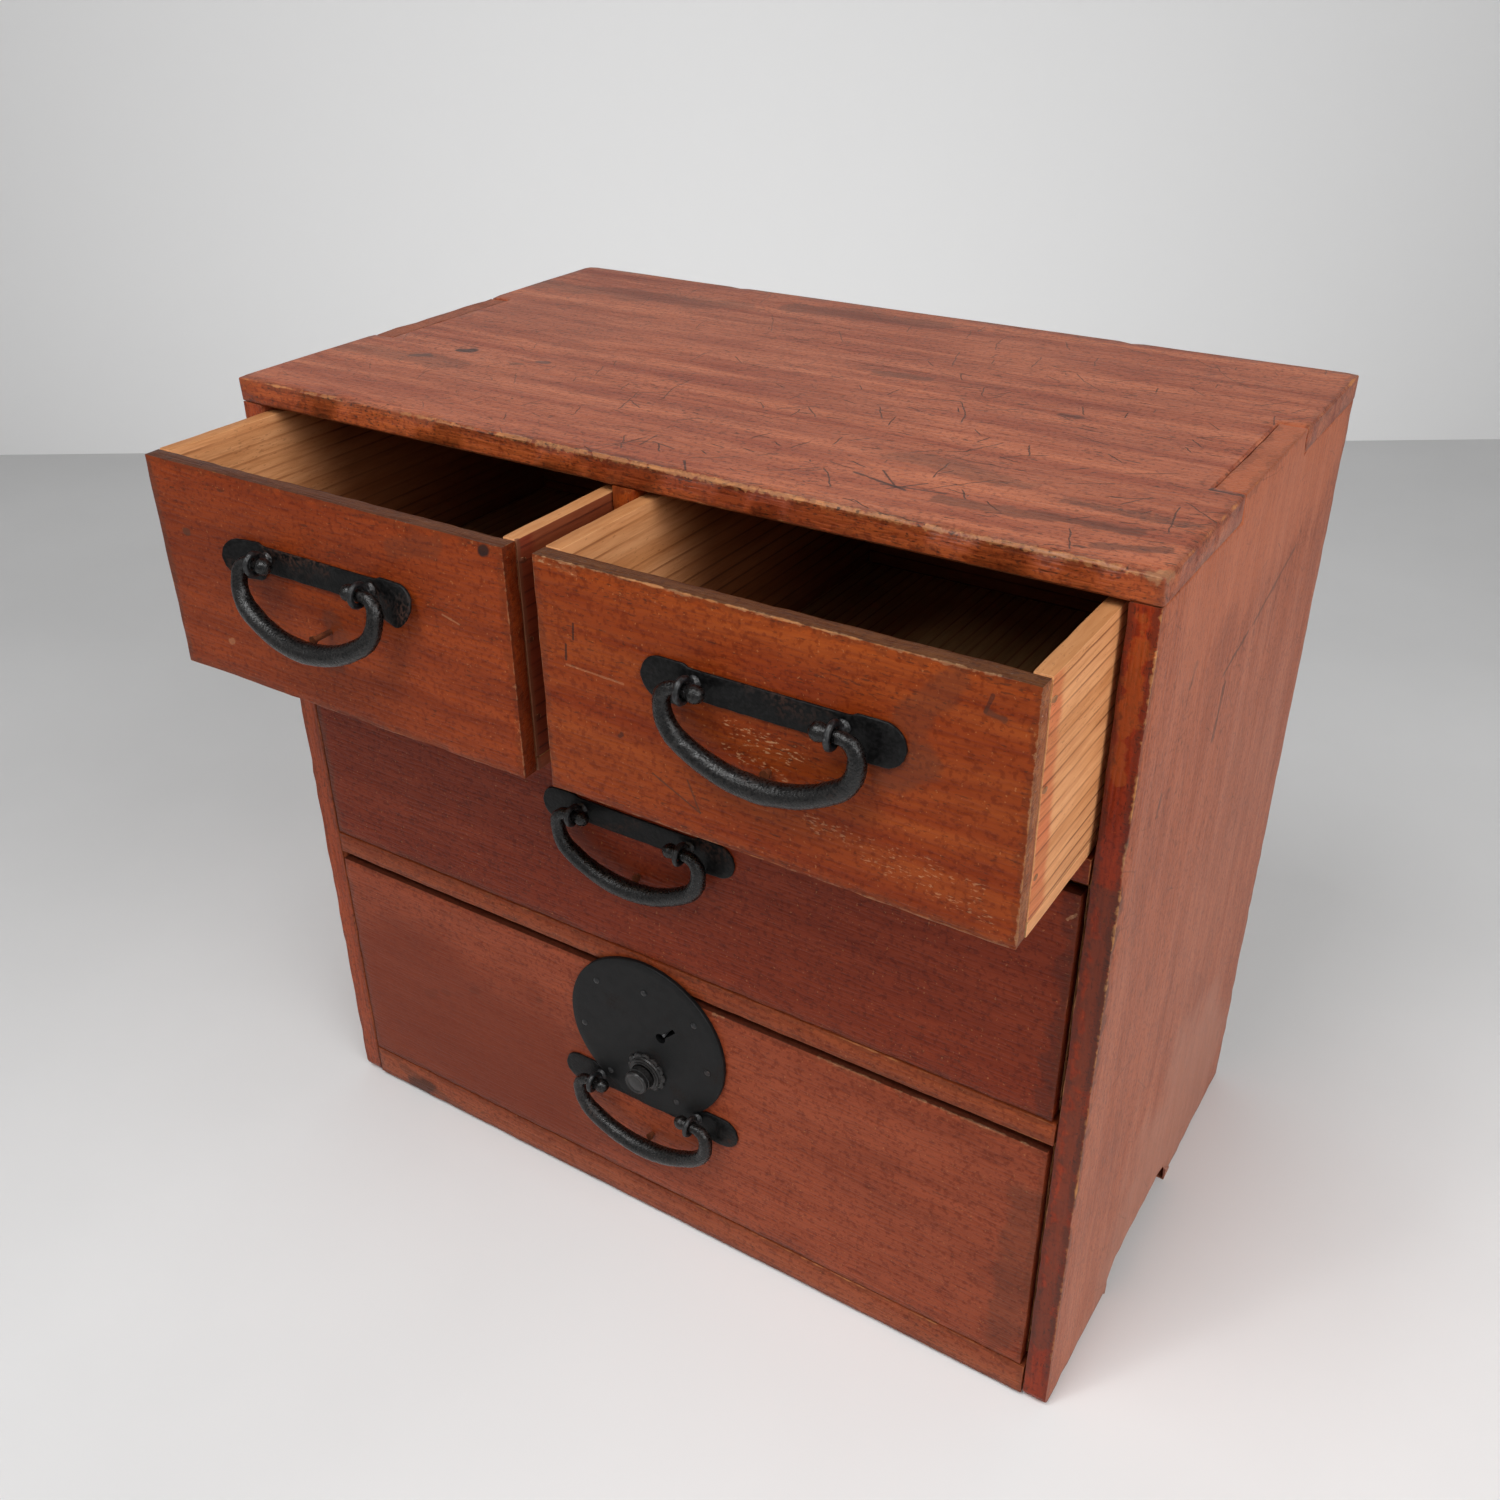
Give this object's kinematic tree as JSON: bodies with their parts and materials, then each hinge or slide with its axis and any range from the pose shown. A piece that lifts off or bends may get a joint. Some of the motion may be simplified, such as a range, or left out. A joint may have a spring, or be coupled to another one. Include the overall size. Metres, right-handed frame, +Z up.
{
  "type": "drawer cabinet",
  "caption": "Small East Asian drawer chest: stained wood case, small drawers side by side over full-width ones, iron bail handles and a round lock plate with a push button.",
  "frame": {"origin": "on the floor, under the middle of the box round the chest with its drawers as they stand", "axes": "+X to the chest's right as seen from in front, +Y from the drawers to the back, +Z up"},
  "size_m": [0.42, 0.3352, 0.404],
  "materials": {
    "case_wood": "worn red-brown lacquer wash",
    "drawer_face_wood": "worn red-brown lacquer wash",
    "drawer_wood": "bare pale softwood",
    "inner_wood": "bare aged softwood",
    "bamboo": "trimmed pegs",
    "forged_iron": "forged black iron",
    "lock_iron": "blackened sheet iron",
    "nail_iron": "rusted iron"
  },
  "bodies": {
    "case": {"top_board": "case_wood", "left_side": "case_wood", "right_side": "case_wood", "bottom_rail": "case_wood", "bottom_board": "inner_wood", "lower_rail": "case_wood", "upper_shelf": "case_wood", "divider": "case_wood", "back_panel": "inner_wood", "left_runner": "inner_wood", "right_runner": "inner_wood", "case_nails": "nail_iron", "lock_strike": "lock_iron"},
    "left_drawer": {"left_drawer_front": "drawer_face_wood", "left_drawer_left_side": "drawer_wood", "left_drawer_right_side": "drawer_wood", "left_drawer_back": "drawer_wood", "left_drawer_bottom": "drawer_wood", "left_drawer_pegs": "bamboo", "left_drawer_eye_pins": "forged_iron", "left_drawer_handle_plate": "forged_iron", "left_drawer_stop_stud": "forged_iron"},
    "right_drawer": {"right_drawer_front": "drawer_face_wood", "right_drawer_left_side": "drawer_wood", "right_drawer_right_side": "drawer_wood", "right_drawer_back": "drawer_wood", "right_drawer_bottom": "drawer_wood", "right_drawer_pegs": "bamboo", "right_drawer_eye_pins": "forged_iron", "right_drawer_handle_plate": "forged_iron", "right_drawer_stop_stud": "forged_iron"},
    "middle_drawer": {"middle_drawer_front": "drawer_face_wood", "middle_drawer_left_side": "drawer_wood", "middle_drawer_right_side": "drawer_wood", "middle_drawer_back": "drawer_wood", "middle_drawer_bottom": "drawer_wood", "middle_drawer_pegs": "bamboo", "middle_drawer_eye_pins": "forged_iron", "middle_drawer_handle_plate": "forged_iron", "middle_drawer_stop_stud": "forged_iron"},
    "bottom_drawer": {"bottom_drawer_front": "drawer_face_wood", "bottom_drawer_left_side": "drawer_wood", "bottom_drawer_right_side": "drawer_wood", "bottom_drawer_back": "drawer_wood", "bottom_drawer_bottom": "drawer_wood", "bottom_drawer_pegs": "bamboo", "bottom_drawer_eye_pins": "forged_iron", "bottom_drawer_handle_plate": "forged_iron", "bottom_drawer_stop_stud": "forged_iron", "lock_plate": "lock_iron", "lock_nails": "lock_iron", "lock_rosette": "lock_iron", "lock_case": "lock_iron"},
    "left_bail": {"left_drawer_bail": "forged_iron"},
    "right_bail": {"right_drawer_bail": "forged_iron"},
    "middle_bail": {"middle_drawer_bail": "forged_iron"},
    "bottom_bail": {"bottom_drawer_bail": "forged_iron"},
    "lock_button": {"lock_button": "lock_iron"},
    "lock_bolt": {"lock_bolt": "lock_iron"}
  },
  "joints": [
    {"name": "left_drawer_slide", "type": "slide", "parent": "case", "child": "left_drawer", "axis": [0, -1, 0], "range_m": [-0.0629, 0.1321]},
    {"name": "right_drawer_slide", "type": "slide", "parent": "case", "child": "right_drawer", "axis": [0, -1, 0], "range_m": [-0.0615, 0.1335]},
    {"name": "middle_drawer_slide", "type": "slide", "parent": "case", "child": "middle_drawer", "axis": [0, -1, 0], "range_m": [0, 0.195]},
    {"name": "bottom_drawer_slide", "type": "slide", "parent": "case", "child": "bottom_drawer", "axis": [0, -1, 0], "range_m": [0, 0.195]},
    {"name": "left_bail_hinge", "type": "hinge", "parent": "left_drawer", "child": "left_bail", "pos_m": [-0.10135, -0.15634, 0.3587], "axis": [-1, 0, 0], "range_deg": [0, 150]},
    {"name": "right_bail_hinge", "type": "hinge", "parent": "right_drawer", "child": "right_bail", "pos_m": [0.1036, -0.15494, 0.3587], "axis": [-1, 0, 0], "range_deg": [0, 165]},
    {"name": "middle_bail_hinge", "type": "hinge", "parent": "middle_drawer", "child": "middle_bail", "pos_m": [-0.00195, -0.09344, 0.2392], "axis": [-1, 0, 0], "range_deg": [0, 165]},
    {"name": "bottom_bail_hinge", "type": "hinge", "parent": "bottom_drawer", "child": "bottom_bail", "pos_m": [-0.00285, -0.09344, 0.0827], "axis": [-1, 0, 0], "range_deg": [0, 165]},
    {"name": "lock_button_slide", "type": "slide", "parent": "bottom_drawer", "child": "lock_button", "axis": [0, 1, 0], "range_m": [0, 0.004], "stiffness_N_per_m": 200, "springref_m": -0.001},
    {"name": "lock_bolt_slide", "type": "slide", "parent": "bottom_drawer", "child": "lock_bolt", "axis": [0, 0, 1], "range_m": [0, 0.008]}
  ],
  "couplings": [
    {"joint": "lock_bolt_slide", "follows": "lock_button_slide", "ratio": 2}
  ]
}
